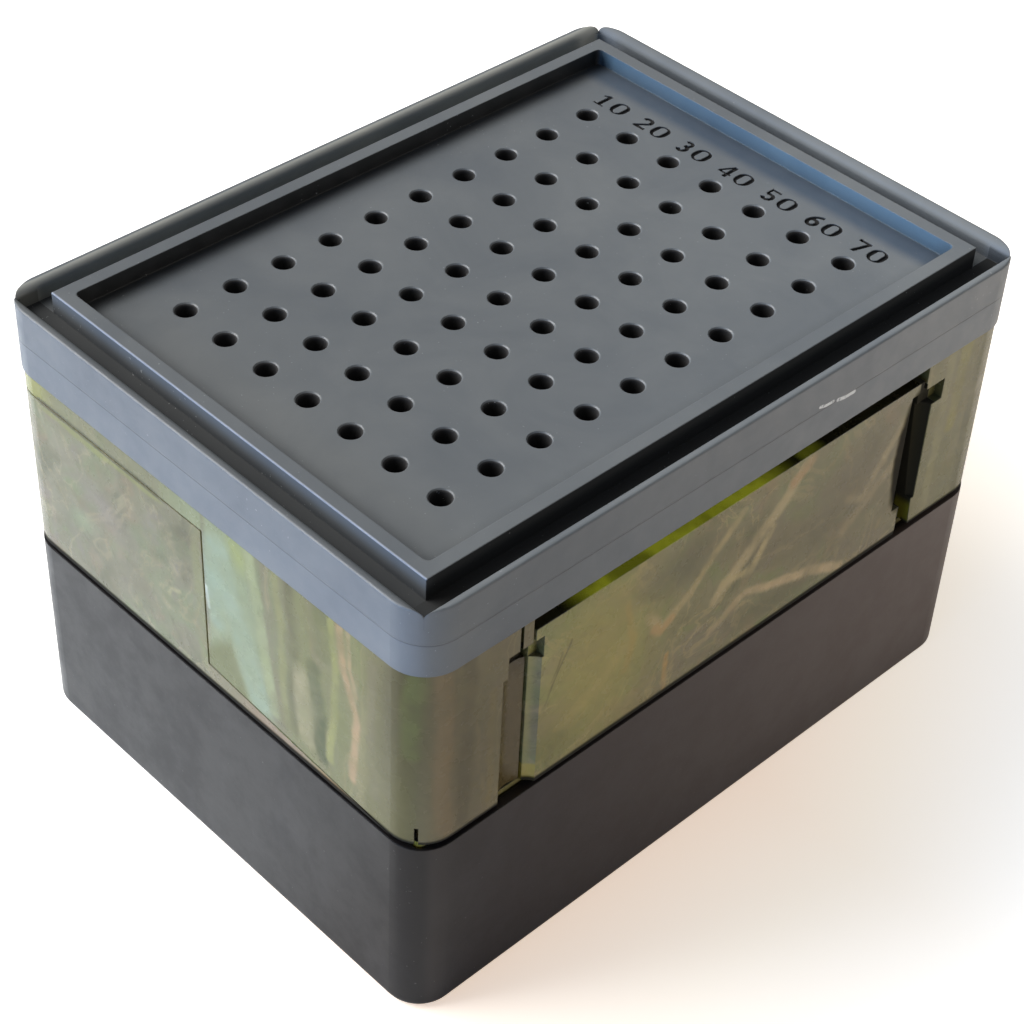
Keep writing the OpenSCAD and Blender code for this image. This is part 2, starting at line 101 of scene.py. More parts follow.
class Graph:
    """A material's node tree, with short calls for the nodes used here.

    A mask is a number from 0 to 1 that says where a mark lies. A tone is an sRGB colour in 0..255.
    Noise scales are in cycles per metre of g.place, or per millimetre of g.mm.
    """

    def __init__(self, name):
        self.material = bpy.data.materials.new(name)
        self.material.use_nodes = True
        self.tree = self.material.node_tree
        self.tree.nodes.clear()
        self.out = self.node("ShaderNodeOutputMaterial")
        self.geometry = self.node("ShaderNodeNewGeometry")
        self.place = self.node("ShaderNodeTexCoord").outputs["Object"]
        self.mm = self.vector("SCALE", self.place, scale=1 / MM)

    def node(self, kind, **settings):
        made = self.tree.nodes.new(kind)
        for key, value in settings.items():
            setattr(made, key, value)
        return made

    def put(self, socket, value):
        if isinstance(value, bpy.types.NodeSocket):
            self.tree.links.new(value, socket)
        elif value is not None:
            if socket.type == "RGBA" and len(value) == 3:
                value = (*value, 1)
            socket.default_value = value

    # numbers
    def math(self, operation, a, b=None, c=None, clamp=False):
        made = self.node("ShaderNodeMath", operation=operation, use_clamp=clamp)
        for socket, value in zip(made.inputs, (a, b, c)):
            self.put(socket, value)
        return made.outputs[0]

    def product(self, *factors):
        total = factors[0]
        for factor in factors[1:]:
            total = self.math("MULTIPLY", total, factor)
        return total

    def largest(self, *values):
        most = values[0]
        for value in values[1:]:
            most = self.math("MAXIMUM", most, value)
        return most

    def between(self, factor, a, b):
        """The number a, or b where factor is 1."""
        made = self.node("ShaderNodeMix", data_type="FLOAT")
        for index, value in ((0, factor), (2, a), (3, b)):
            self.put(made.inputs[index], value)
        return made.outputs[0]

    def range(self, value, low, high, to_low=0.0, to_high=1.0, smooth=True):
        """value from low..high to to_low..to_high, clamped."""
        made = self.node("ShaderNodeMapRange")
        made.interpolation_type = "SMOOTHSTEP" if smooth else "LINEAR"
        for socket, v in zip(made.inputs, (value, low, high, to_low, to_high)):
            self.put(socket, v)
        return made.outputs[0]

    def over(self, value, level):
        return self.math("GREATER_THAN", value, level)

    def under(self, value, level):
        return self.math("LESS_THAN", value, level)

    def within(self, value, out_low, low, high, out_high):
        """1 from low to high, fading to 0 at out_low and out_high."""
        return self.product(self.range(value, out_low, low), self.range(value, out_high, high))

    # vectors
    def vector(self, operation, a, b=None, scale=None):
        made = self.node("ShaderNodeVectorMath", operation=operation)
        self.put(made.inputs[0], a)
        self.put(made.inputs[1], b)
        if scale is not None:
            self.put(made.inputs["Scale"], scale)
        return made.outputs["Value" if operation in ("DOT_PRODUCT", "LENGTH") else "Vector"]

    def split(self, vector):
        made = self.node("ShaderNodeSeparateXYZ")
        self.put(made.inputs[0], vector)
        return made.outputs

    def join(self, x, y, z):
        made = self.node("ShaderNodeCombineXYZ")
        for socket, value in zip(made.inputs, (x, y, z)):
            self.put(socket, value)
        return made.outputs[0]

    def flat(self, u, v):
        """A point (u, v) on a face."""
        return self.join(u, v, 0.0)

    def mapping(self, vector, rotation=(0, 0, 0), scale=(1, 1, 1)):
        """vector scaled, then turned by rotation in degrees."""
        made = self.node("ShaderNodeMapping")
        self.put(made.inputs["Vector"], vector)
        self.put(made.inputs["Rotation"], [math.radians(a) for a in rotation])
        self.put(made.inputs["Scale"], scale)
        return made.outputs[0]

    # textures
    def noise(self, vector, scale, detail=4, roughness=0.5, distortion=0, output="Fac"):
        made = self.node("ShaderNodeTexNoise")
        self.put(made.inputs["Vector"], vector)
        for key, value in (
            ("Scale", scale),
            ("Detail", detail),
            ("Roughness", roughness),
            ("Distortion", distortion),
        ):
            self.put(made.inputs[key], value)
        return made.outputs[output]

    def ridge(self, noise, level, width, strength):
        """A thin line where the noise passes through level."""
        away = self.math("ABSOLUTE", self.math("SUBTRACT", noise, level))
        return self.range(away, width, 0.0, 0, strength)

    def streak(self, point, corners, width, edge):
        """1 within width of the line through the corners, fading over edge."""
        nearest = None
        for a, b in zip(corners, corners[1:]):
            along = (b[0] - a[0], b[1] - a[1], 0)
            length = along[0] ** 2 + along[1] ** 2
            start = self.vector("SUBTRACT", point, (*a, 0))
            reach = self.vector("DOT_PRODUCT", start, along)
            part = self.math("MULTIPLY", reach, 1 / length, clamp=True)
            foot = self.vector("SCALE", along, scale=part)
            away = self.vector("LENGTH", self.vector("SUBTRACT", start, foot))
            nearest = away if nearest is None else self.math("MINIMUM", nearest, away)
        return self.range(nearest, width + edge, width)

    def spot(self, point, centre, radii, tilt, edge):
        """1 inside a tilted ellipse, fading over edge (a share of its size)."""
        start = self.vector("SUBTRACT", point, (*centre, 0))
        turned = self.mapping(start, rotation=(0, 0, -tilt))
        shares = self.vector("MULTIPLY", turned, (1 / radii[0], 1 / radii[1], 0))
        return self.range(self.vector("LENGTH", shares), 1 + edge, 1 - edge)

    # colours
    def ramp(self, factor, stops):
        """stops: (position, colour)."""
        made = self.node("ShaderNodeValToRGB")
        elements = made.color_ramp.elements
        while len(elements) < len(stops):
            elements.new(0.5)
        for element, (position, colour) in zip(elements, stops):
            element.position = position
            element.color = (*colour, 1)
        self.put(made.inputs[0], factor)
        return made.outputs[0]

    def mix(self, factor, a, b, blend="MIX"):
        made = self.node("ShaderNodeMix", data_type="RGBA", blend_type=blend)
        self.put(made.inputs[0], factor)
        self.put(made.inputs[6], a)
        self.put(made.inputs[7], b)
        return made.outputs[2]

    def paint(self, colour, mask, tone):
        return self.mix(mask, colour, srgb(*tone))

    def cast(self, colour, mask, factors):
        """colour with its red, green and blue multiplied where the mask is 1."""
        return self.mix(mask, colour, self.mix(1.0, colour, factors, "MULTIPLY"))

    def shaded(self, colour, factor):
        """colour scaled by a factor."""
        return self.vector("SCALE", colour, scale=factor)

    # surfaces
    def occlusion(self, distance):
        made = self.node("ShaderNodeAmbientOcclusion", samples=3, only_local=True)
        self.put(made.inputs["Distance"], distance)
        return made.outputs["AO"]

    def rounded(self, radius):
        """The normal, as if every edge had a small radius."""
        made = self.node("ShaderNodeBevel", samples=2)
        self.put(made.inputs["Radius"], radius)
        return made.outputs[0]

    def bump(self, height, distance, strength, normal):
        made = self.node("ShaderNodeBump")
        self.put(made.inputs["Strength"], strength)
        self.put(made.inputs["Distance"], distance)
        self.put(made.inputs["Height"], height)
        self.put(made.inputs["Normal"], normal)
        return made.outputs[0]

    def surface(self, **inputs):
        shader = self.node("ShaderNodeBsdfPrincipled")
        for key, value in inputs.items():
            self.put(shader.inputs[key.replace("_", " ")], value)
        self.tree.links.new(shader.outputs[0], self.out.inputs[0])


def outer_rim(g, half_x, half_y, radius, inset):
    """1 on the upright outer faces of a rounded box."""
    x, y, _ = g.split(g.vector("ABSOLUTE", g.mm))
    out_x = g.math("MAXIMUM", g.math("SUBTRACT", x, half_x - radius), 0.0)
    out_y = g.math("MAXIMUM", g.math("SUBTRACT", y, half_y - radius), 0.0)
    reach = g.vector("LENGTH", g.join(out_x, out_y, 0.0))
    return g.over(reach, radius - inset)


# ---------------------------------------------------------------- lid
def lid_plastic():
    """Satin slate grey, a little cloudy, with dust in patches, a parting line and two scuffs, and
    painted shade and light.
    """
    g = Graph("grey_plastic")
    x, y, z = g.split(g.mm)
    far_x, far_y, _ = g.split(g.vector("ABSOLUTE", g.mm))
    nx, ny, _ = g.split(g.geometry.outputs["Normal"])
    cloud = g.noise(g.place, 60, 4, 0.6, 0.6)
    colour = g.ramp(cloud, [(0.3, srgb(95, 101, 107)), (0.7, srgb(108, 113, 117))])

    # darker at the front left than at the back right, and painted shade darkens the right face
    diagonal = g.math("ADD", x, y)
    shade = g.product(
        g.range(diagonal, -60, 0, 0.86, 0.99, smooth=False),
        g.range(diagonal, 0, 70, 1.0, 1.34, smooth=False),
        g.range(nx, 0.5, 0.95, 1.0, 0.84),
    )
    # painted shade darkens the creases, and painted light keeps the left rim's inside light
    crease = g.range(g.occlusion(3.5 * MM), 0.25, 0.95, 0.22, 1.0)
    left_rim = g.product(g.range(x, 0.3 - RIM_X, -RIM_X), g.range(nx, 0.05, 0.35))
    crease = g.between(left_rim, crease, 3.0)
    # painted shadow in the channel: darker at the front, and black along the right side where the
    # frame shades it
    beyond_front = g.range(y, 0.1 - FRAME_Y, -FRAME_Y)
    beyond_right = g.range(x, FRAME_X - 0.1, FRAME_X)
    channel = g.product(
        g.largest(beyond_front, beyond_right),
        g.product(g.range(z, TOP - 0.03, TOP - 0.15), g.over(z, CHANNEL_Z - 0.05)),
        g.product(
            g.range(far_x, RIM_X + 0.1, RIM_X - 0.1), g.range(far_y, RIM_Y + 0.1, RIM_Y - 0.1)
        ),
    )
    black = g.product(beyond_right, g.range(y, -52, -47))
    painted_shadow = g.between(black, g.range(z, CHANNEL_Z + 0.05, RIM_Z + 0.05, 0.25, 0.85), 0.05)
    crease = g.between(channel, crease, painted_shadow)
    # painted shadow in the recess along its left wall
    recess = g.product(
        g.product(g.under(far_x, RECESS_X + 0.1), g.under(far_y, RECESS_Y + 0.1)),
        g.product(g.over(z, PEG_FLOOR_Z - 0.15), g.range(z, TOP - 0.02, TOP - 0.07)),
    )
    off_wall = g.range(x, 0.2 - RECESS_X, 3.6 - RECESS_X, 0.4, 1.0)
    painted_shadow = g.between(g.range(x, 0.05 - RECESS_X, 0.2 - RECESS_X), 0.08, off_wall)
    crease = g.product(crease, g.between(recess, 1.0, painted_shadow))
    shade = g.product(shade, crease)
    # the rim is a little lighter below its parting line
    rim = outer_rim(g, HALF_X, HALF_Y, CORNER_R, 0.25)
    below = g.product(rim, g.range(z, PARTING_Z + 0.05, PARTING_Z - 0.05))
    off_line = g.math("ABSOLUTE", g.math("SUBTRACT", z, PARTING_Z))
    line = g.product(rim, g.range(off_line, 0.16, 0.04))
    shade = g.product(shade, g.math("MULTIPLY_ADD", below, 0.07, 1.0))
    shade = g.product(shade, g.math("MULTIPLY_ADD", line, -0.3, 1.0))
    colour = g.shaded(colour, shade)

    # painted light makes the front faces and the recess's back wall bluer, and painted shade makes
    # the margin before that wall darker and bluer
    colour = g.cast(colour, g.range(ny, -0.5, -0.95), (1.06, 1.11, 1.2))
    back_wall = g.product(recess, g.range(y, RECESS_Y - 0.3, RECESS_Y - 0.05))
    colour = g.cast(colour, back_wall, (0.6, 0.92, 1.15))
    margin = g.product(
        recess, g.within(y, RECESS_Y - 4.9, RECESS_Y - 2.4, RECESS_Y - 0.3, RECESS_Y - 0.05)
    )
    colour = g.cast(colour, margin, (0.45, 0.55, 0.7))
    # a painted highlight along the frame's front edge, and painted light makes the left rim's inside
    # warmer
    lip = g.product(
        g.product(g.range(z, TOP - 0.25, TOP - 0.05), g.under(far_x, FRAME_X + 0.1)),
        g.product(g.range(y, 0.3 - FRAME_Y, 0.05 - FRAME_Y), g.over(y, -FRAME_Y - 0.3)),
    )
    colour = g.paint(colour, lip, (158, 168, 186))
    colour = g.cast(colour, left_rim, (1.12, 1.03, 0.88))
    # painted shade makes the holes and the engraved numbers dark inside
    hole = g.product(
        g.product(g.range(z, PEG_FLOOR_Z - 0.09, PEG_FLOOR_Z - 0.21), g.over(z, DECK_Z + 0.15)),
        g.under(far_x, RECESS_X + 0.1),
        g.under(far_y, RECESS_Y - 0.2),
    )
    colour = g.paint(colour, hole, (20, 20, 22))
    # dust, thicker in patches
    speck = g.range(g.noise(g.place, 2300, 1, 0.5), 0.74, 0.80)
    patch = g.range(g.noise(g.place, 70, 2, 0.5), 0.42, 0.62, 0.05, 0.55)
    colour = g.paint(colour, g.product(speck, patch), (164, 168, 170))
    # two scuffs on the right face
    side = g.flat(y, z)
    scuff = g.largest(
        g.streak(side, [(12.7, 65.7), (13.9, 65.35), (15.2, 65.3)], 0.16, 0.16),
        g.streak(side, [(16.2, 65.05), (17.6, 64.75), (19.4, 64.7)], 0.2, 0.16),
    )
    torn = g.range(g.noise(g.place, 1500, 2, 0.6), 0.25, 0.45)
    colour = g.paint(colour, g.product(scuff, g.range(nx, 0.5, 0.9), torn), (226, 228, 228))

    # satin, but dull in the holes, in the channel and high on the back rim's inside
    rough = g.range(g.noise(g.place, 300, 3, 0.6), 0.3, 0.7, 0.34, 0.47)
    high = g.range(z, RIM_Z - 1.45, RIM_Z - 1.15)
    back_rim = g.product(g.range(y, RIM_Y - 0.2, RIM_Y + 0.1), high)
    rough = g.between(g.largest(hole, back_rim, channel), rough, 0.85)
    fine = g.noise(g.place, 1500, 3, 0.6)
    wave = g.noise(g.place, 130, 2, 0.5)
    normal = g.bump(wave, 0.1 * MM, 0.25, g.rounded(0.22 * MM))
    normal = g.bump(fine, 0.02 * MM, 0.35, normal)
    normal = g.bump(g.product(line, -1.0), 0.08 * MM, 0.6, normal)
    g.surface(Base_Color=colour, Roughness=rough, Normal=normal)
    return g.material


# ---------------------------------------------------------------- tray
def tray_plastic():
    """Satin black, with a thin film of dust and fine rubbed marks."""
    g = Graph("black_plastic")
    x, y, _ = g.split(g.mm)
    cloud = g.noise(g.place, 45, 4, 0.6, 0.8)
    colour = g.ramp(cloud, [(0.3, srgb(15, 14, 17)), (0.7, srgb(26, 24, 26))])
    smears = g.noise(g.mapping(g.place, scale=(1, 1, 0.4)), 110, 5, 0.7)
    colour = g.paint(colour, g.range(smears, 0.48, 0.75, 0.0, 0.25), (54, 54, 56))
    speck = g.range(g.noise(g.place, 1900, 1, 0.5), 0.75, 0.80, 0, 0.35)
    colour = g.paint(colour, speck, (120, 118, 116))
    # painted shade in the creases
    colour = g.shaded(colour, g.range(g.occlusion(4 * MM), 0.3, 0.9, 0.35, 1.0))
    # the right face is painted lighter and browner towards the back
    on_right = g.range(x, HALF_X - 1.5, HALF_X - 0.5)
    lighter_back = g.product(on_right, g.range(y, -48, 52, 0.15, 1.0, smooth=False))
    colour = g.paint(colour, g.product(lighter_back, 0.8), (98, 83, 76))

    rubbed = g.mapping(g.place, rotation=(0, 20, 35), scale=(0.12, 1, 1))
    rubbed = g.noise(rubbed, 900, 3, 0.6)
    fine = g.noise(g.place, 1400, 3, 0.6)
    wave = g.noise(g.place, 60, 2, 0.5)
    rough = g.range(g.noise(g.place, 160, 5, 0.7), 0.3, 0.7, 0.29, 0.41)
    normal = g.bump(wave, 0.3 * MM, 0.2, g.rounded(0.3 * MM))
    normal = g.bump(g.mix(0.5, fine, rubbed), 0.02 * MM, 0.4, normal)
    g.surface(Base_Color=colour, Roughness=rough, Normal=normal, Specular_IOR_Level=0.28)
    return g.material


# ---------------------------------------------------------------- marbled halves
Face = namedtuple("Face", "point shows")  # a point (across, up) in mm, and a mask of the face


class Marble(Graph):
    """Swirled olive plastic. Swirls are laid over a base, one after another."""

    def __init__(self, name, steep):
        super().__init__(name)
        self.x, self.y, self.z = self.split(self.mm)
        nx, ny, _ = self.split(self.geometry.outputs["Normal"])
        wobble = self.noise(self.place, 90, 4, 0.55, output="Color")
        warp = self.vector("SCALE", self.vector("SUBTRACT", wobble, (0.5, 0.5, 0.5)), scale=5.0)
        self.colour = marble_base(self, self.vector("ADD", self.mm, warp), steep)
        # single swirls are warped about half as much as the base
        warped = self.vector("ADD", self.mm, self.vector("SCALE", warp, scale=0.55))
        self.wx, self.wy, self.wz = self.split(warped)
        facing_front = self.flat(self.wx, self.wz)
        self.front = Face(facing_front, self.range(ny, -0.55, -0.92))
        self.right = Face(self.flat(self.wy, self.wz), self.range(nx, 0.55, 0.92))
        # the front face with a part of its rounded corners
        self.front_corner = Face(facing_front, self.range(ny, -0.3, -0.7))
        # veins fade and thin out along their length
        self.fade = self.range(self.noise(self.place, 170, 3, 0.6), 0.36, 0.6, 0.45, 1.0)

    def lay(self, mask, tone, strength, face=None):
        shows = 1.0 if face is None else face.shows
        mask = self.product(mask, self.product(shows, strength))
        self.colour = self.paint(self.colour, mask, tone)

    def spots(self, face, rows):
        """rows: (centre, radii, tilt, soft edge, tone, strength)."""
        for centre, radii, tilt, edge, tone, strength in rows:
            self.lay(self.spot(face.point, centre, radii, tilt, edge), tone, strength, face)

    def veins(self, face, rows):
        """rows: (corners, tone, strength, half width, soft edge)."""
        for corners, tone, strength, width, edge in rows:
            line = self.streak(face.point, corners, width, edge)
            self.lay(self.product(line, self.fade), tone, strength, face)


def marble_base(g, warped, steep):
    """Olive clouds with tan, green and mauve ones, and thin veins; steep draws them upwards."""
    if steep:
        turned, size = g.mapping(warped, rotation=(0, -12, 20), scale=(1, 0.55, 0.16)), 0.085
    else:
        turned, size = g.mapping(warped, rotation=(25, 30, 40), scale=(1, 0.8, 1)), 0.05
    colour = g.ramp(
        g.noise(turned, size, 5, 0.55, 1.2),
        [
            (0.28, srgb(80, 82, 56)),
            (0.40, srgb(104, 104, 78)),
            (0.50, srgb(118, 116, 92)),
            (0.60, srgb(112, 120, 86)),
            (0.74, srgb(140, 138, 108)),
        ],
    )
    tan = g.range(g.noise(turned, 0.16, 4, 0.6, 0.8), 0.52, 0.7, 0, 0.55)
    colour = g.paint(colour, tan, (134, 118, 94))
    green = g.range(g.noise(turned, 0.11, 4, 0.6, 1.5), 0.56, 0.7, 0, 0.6)
    colour = g.paint(colour, green, (106, 120, 76))
    mauve = g.range(g.noise(turned, 0.07, 3, 0.6, 2.0), 0.5, 0.68, 0, 0.5)
    colour = g.paint(colour, mauve, (118, 110, 104))
    pale = g.ridge(g.noise(turned, 0.055, 4, 0.55, 1.8), 0.5, 0.022, 0.45)
    colour = g.paint(colour, pale, (162, 152, 120))
    dark = g.ridge(g.noise(turned, 0.08, 4, 0.6, 1.2), 0.42, 0.014, 0.35)
    return g.paint(colour, dark, (74, 74, 50))


def paint_upper_front(g):
    """A pale blue-green band, an olive wedge, steep streaks and a dark right corner."""
    front = g.front
    g.lay(g.range(g.wx, 28.8, 31.5), (98, 94, 72), 0.8, front)
    slant = g.math("MULTIPLY_ADD", g.wz, -0.16, 18.2)
    beyond = g.math("SUBTRACT", g.wx, slant)
    green = g.product(g.range(g.wx, 0.0, 1.2), g.range(beyond, 2.2, -2.0))
    g.lay(green, (134, 148, 116), 0.8, front)
    g.veins(
        front,
        [
            ([(3.0, 56), (4.5, 50), (8.5, 42), (10.5, 36)], (142, 162, 142), 0.75, 1.0, 2.4),
            ([(1.5, 55), (2.0, 44)], (138, 160, 142), 0.7, 0.8, 2.0),
            # a painted highlight on the seam's edge
            ([(0.4, 48.2), (0.5, 44.8)], (186, 200, 190), 0.9, 0.15, 0.35),
        ],
    )
    # the wedge's sides fall away from its apex at two slopes
    off_apex = g.math("SUBTRACT", g.wx, 4.9)
    fall = g.largest(g.product(off_apex, 2.2), g.product(off_apex, -0.85))
    wedge = g.math("SUBTRACT", g.math("SUBTRACT", 42.6, g.wz), fall)
    g.lay(g.range(wedge, -1.0, 2.4), (102, 106, 58), 0.85, front)
    g.lay(g.range(g.wx, 10, 19), (116, 113, 54), 0.45, front)
    g.spots(front, [((7.0, 58.0), (1.7, 2.6), 15, 0.8, (142, 152, 88), 0.7)])
    tan = [(25.8, 60), (25.9, 53), (27.2, 50), (28.3, 46), (28.0, 36)]
    g.veins(
        front,
        [
            ([(9.2, 60), (10.8, 50), (13.2, 36)], (150, 160, 118), 0.85, 0.4, 1.1),
            ([(14.3, 60), (14.8, 48), (15.4, 36)], (134, 134, 88), 0.7, 0.2, 0.9),
            ([(16.8, 60), (17.2, 50), (17.0, 36)], (86, 84, 52), 0.75, 0.2, 1.4),
            ([(18.6, 46), (19.2, 36)], (158, 152, 120), 0.8, 0.8, 1.4),
            ([(22.6, 60), (22.4, 53)], (98, 102, 60), 0.9, 0.8, 1.3),
            ([(20.9, 49), (22.0, 42), (22.4, 35)], (70, 80, 40), 1.0, 0.6, 1.1),
            ([(24.3, 60), (24.6, 48), (24.0, 36)], (146, 148, 86), 0.8, 0.2, 0.8),
            (tan, (176, 148, 112), 0.9, 0.2, 0.9),
            ([(27.2, 60), (27.2, 54), (28.4, 50)], (170, 150, 114), 0.8, 0.1, 0.5),
            ([(31.5, 58), (31.0, 47), (32.0, 36)], (116, 110, 84), 0.6, 0.3, 1.0),
        ],
    )
    corner = g.range(g.math("SUBTRACT", g.wx, g.wy), 84.5, 89.0)
    g.lay(g.product(corner, g.range(g.wz, 36, 52, 0.45, 1.0)), (76, 72, 42), 0.85)
    g.veins(g.front_corner, [([(37.6, 60), (37.2, 47)], (100, 108, 58), 0.7, 0.5, 1.2)])
    # the plate's edge above the lower half's panel
    at_plate = g.range(g.z, UPPER_PLATE_Z - 0.5, UPPER_PLATE_Z - 0.3)
    edge = g.product(at_plate, g.range(g.x, 0.2, -0.2))
    g.lay(edge, (116, 118, 84), 0.7, front)
    g.lay(g.product(edge, g.range(g.wx, -10, -2)), (134, 146, 112), 0.7, front)
    g.lay(g.product(edge, g.range(g.wx, -29, -34)), (144, 146, 72), 0.8, front)
    # a painted shadow of the gap along the lower half's panel top
    shadow = g.product(
        g.range(g.z, UPPER_PLATE_Z + 0.6, UPPER_PLATE_Z + 0.1),
        g.within(g.x, -34.5, -33, -10, -7),
    )
    g.lay(g.product(edge, shadow), (58, 60, 22), 0.9, front)


def paint_upper_right(g):
    """A brown near post, a yellow-green far post, and finger grooves painted dark as shade.

    Returns a mask of the far groove.
    """
    right = g.right
    g.lay(g.range(g.wy, -33, -36), (84, 79, 64), 0.7, right)
    g.veins(
        right,
        [
            ([(-50, 60), (-49.4, 33)], (104, 92, 72), 0.7, 0.6, 1.2),
            ([(-46, 60), (-46.6, 33)], (70, 66, 48), 0.7, 0.5, 1.2),
            ([(-42.2, 52), (-42.4, 34)], (104, 96, 66), 0.6, 0.2, 0.7),
        ],
    )
    g.lay(g.range(g.wy, 36, 38), (98, 97, 68), 0.75, right)
    g.veins(
        right,
        [
            ([(41.5, 60), (41.0, 33)], (124, 124, 92), 0.8, 0.4, 0.9),
            ([(44.4, 60), (43.8, 46)], (124, 122, 62), 0.8, 0.5, 1.0),
            ([(48.2, 60), (47.4, 44), (47.8, 33)], (78, 80, 48), 0.8, 0.3, 0.9),
        ],
    )
    # painted shade in the near groove, darkest in its pocket
    below_plate = g.under(g.z, UPPER_PLATE_Z + 0.05)
    near = g.product(
        below_plate,
        g.within(g.y, -42.2, -41.9, -35.1, -34.9),
        g.within(g.x, 36, 36.4, 39.7, 39.8),
    )
    g.lay(near, (76, 68, 48), 0.85)
    g.lay(g.product(near, g.range(g.z, 48, 56)), (28, 24, 14), 0.8)
    # the far groove is painted black as shade, with painted light at its foot
    far = g.product(
        below_plate,
        g.within(g.y, 31, 31.4, 38.8, 39.0),
        g.within(g.x, 36.4, 36.8, 39.7, 39.8),
    )
    g.lay(far, (16, 14, 6), 0.96)
    g.lay(g.product(far, g.range(g.z, 36, 34.4)), (128, 124, 24), 0.85)
    return far


def paint_lower_front(g):
    """A mottled panel with a green leaf, a pale comma and pale spots."""
    front = g.front
    g.veins(front, [([(-13.5, 47.2), (-9.5, 48.4), (-4.2, 51.2)], (104, 112, 80), 0.8, 0.9, 1.8)])
    g.spots(front, [((-9.3, 46.6), (1.8, 0.7), 20, 1.0, (82, 90, 58), 0.7)])
    g.veins(
        front,
        [
            ([(-7.6, 41.0), (-7.0, 42.4), (-5.3, 43.0)], (158, 154, 116), 0.9, 0.08, 0.5),
            ([(-4.6, 53), (-3.0, 48), (-4.2, 45)], (100, 98, 72), 0.6, 0.3, 1.2),
            ([(-1.2, 56), (-1.0, 34)], (124, 128, 84), 0.7, 0.3, 1.2),
        ],
    )
    g.spots(
        front,
        [
            ((-26.0, 40.9), (2.2, 1.5), 10, 1.0, (128, 142, 110), 0.7),
            ((-21.0, 46.5), (4.5, 2.5), -20, 1.0, (122, 114, 104), 0.6),
            ((-30.0, 52.0), (4.0, 1.6), -30, 1.0, (128, 124, 104), 0.6),
            ((-15.0, 38.0), (5.5, 2.5), 12, 1.0, (112, 108, 86), 0.6),
        ],
    )
    # a painted shadow along the panel's top edge, with painted light coming through just below it
    panel = g.within(g.x, -35, -32, -9, -6)
    g.lay(g.product(g.range(g.z, 56.35, 56.6), panel), (58, 60, 22), 0.85, front)
    glow = g.product(g.range(g.wz, 55.4, 56.1), g.range(g.z, 56.6, 56.35))
    g.lay(g.product(glow, panel), (130, 136, 70), 0.6, front)
    # the plate's edge below the upper half's panel
    at_plate = g.range(g.z, LOWER_PLATE_Z + 0.2, LOWER_PLATE_Z - 0.2)
    edge = g.product(at_plate, g.range(g.x, -0.6, 0.6))
    g.lay(edge, (126, 120, 92), 0.8, front)
    mauve = g.spot(front.point, (13.5, 33), (6, 3), 0, 0.6)
    g.lay(g.product(edge, mauve), (142, 120, 100), 0.7, front)
    tan = g.spot(front.point, (24.6, 33), (3.4, 3), 0, 0.6)
    g.lay(g.product(edge, tan), (158, 126, 76), 0.8, front)
    g.lay(g.product(at_plate, g.range(g.wx, 33, 35)), (164, 152, 58), 0.8, g.front_corner)


